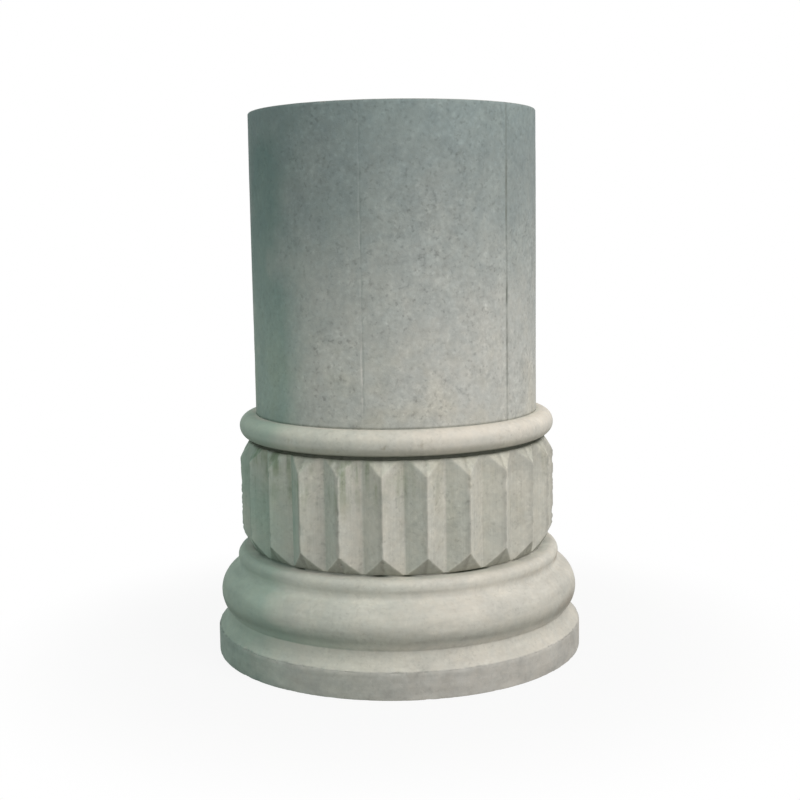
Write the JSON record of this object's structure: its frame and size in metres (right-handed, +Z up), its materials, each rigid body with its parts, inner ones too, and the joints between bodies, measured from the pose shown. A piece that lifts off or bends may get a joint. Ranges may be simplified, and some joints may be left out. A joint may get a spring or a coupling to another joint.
{
  "type": "column base with ringed shaft",
  "caption": "Foot of a round stone column: moulded round base, ridged band, half-round ring and plain shaft, cut flat at the top.",
  "frame": {"origin": "middle of the underside of the base, at ground level", "axes": "+Z up along the axis of the column; -Y is the front; +X is to the right seen from the front"},
  "size_m": [1.3068, 1.307, 1.8871],
  "materials": {
    "base_stone": "weathered, pale, with green algae and grey shadow stains",
    "band_stone": "weathered, sawn facets with worn arrises, stained in the grooves",
    "ring_stone": "weathered, smooth, warm and pale on top",
    "shaft_stone": "weathered, fine pitted and speckled face, darker and greener up the shaft"
  },
  "bodies": {
    "root": {"base": "base_stone", "faceted_band": "band_stone", "astragal_ring": "ring_stone", "shaft": "shaft_stone"}
  },
  "joints": []
}
